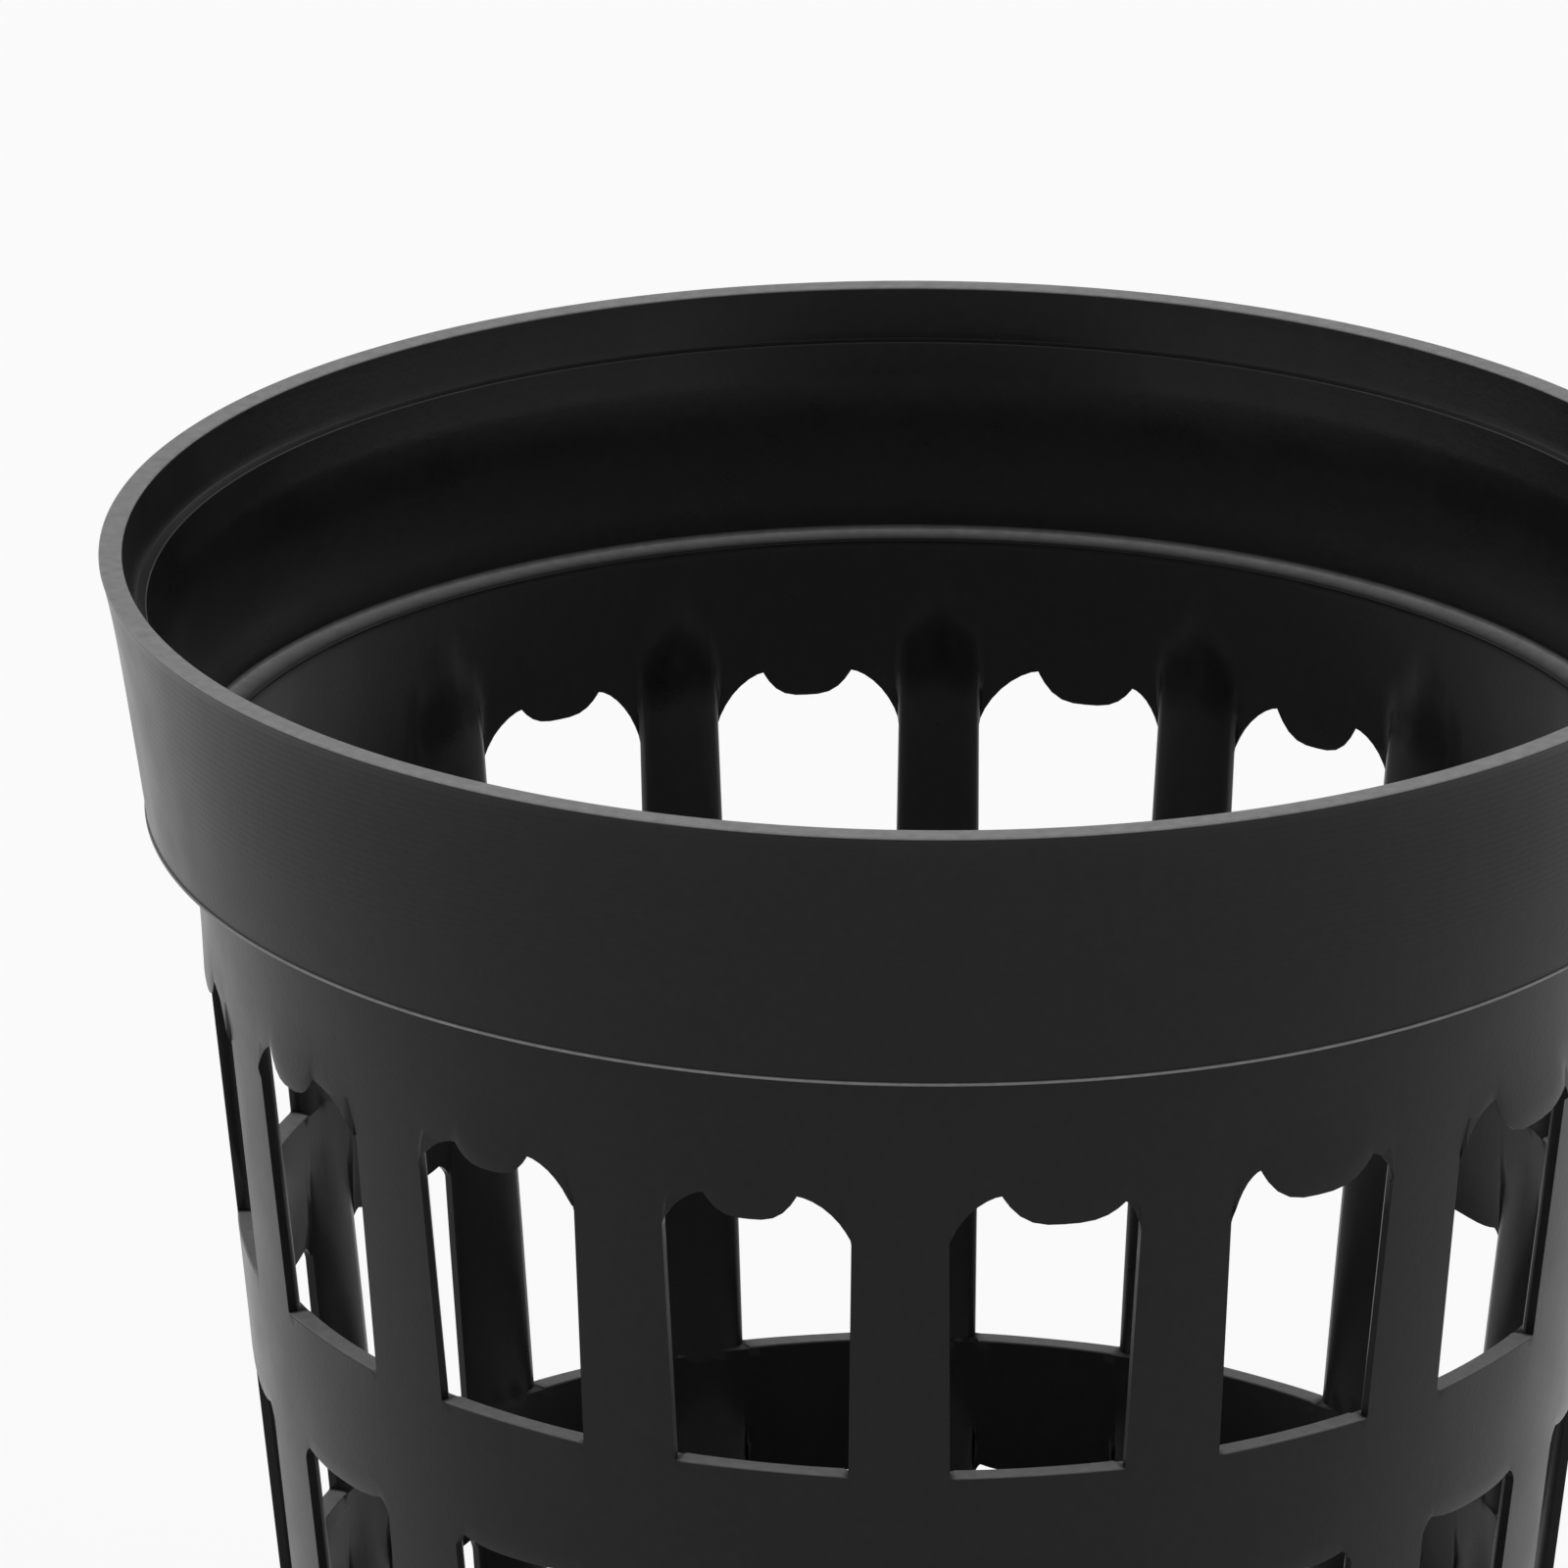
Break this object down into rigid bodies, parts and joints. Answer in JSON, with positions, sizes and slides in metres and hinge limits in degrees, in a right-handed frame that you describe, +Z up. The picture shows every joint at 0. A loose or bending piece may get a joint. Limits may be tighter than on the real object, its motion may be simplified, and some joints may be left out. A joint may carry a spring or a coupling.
{
  "type": "hydroponic net pot",
  "caption": "Tapered plastic cup with a deep collar, rows of windows between upright ribs and a slotted floor, which hangs in a growing hole and holds a plant's roots.",
  "frame": {"origin": "middle of the flat underside of the floor", "axes": "+Z up along the cup's axis, out of its mouth; +X and +Y each pass through the middle of a rib"},
  "size_m": [0.056, 0.056, 0.058],
  "materials": {
    "black_plastic": "satin, as moulded, with faint turning lines on the collar"
  },
  "bodies": {
    "root": {"net_pot": "black_plastic"}
  },
  "joints": []
}
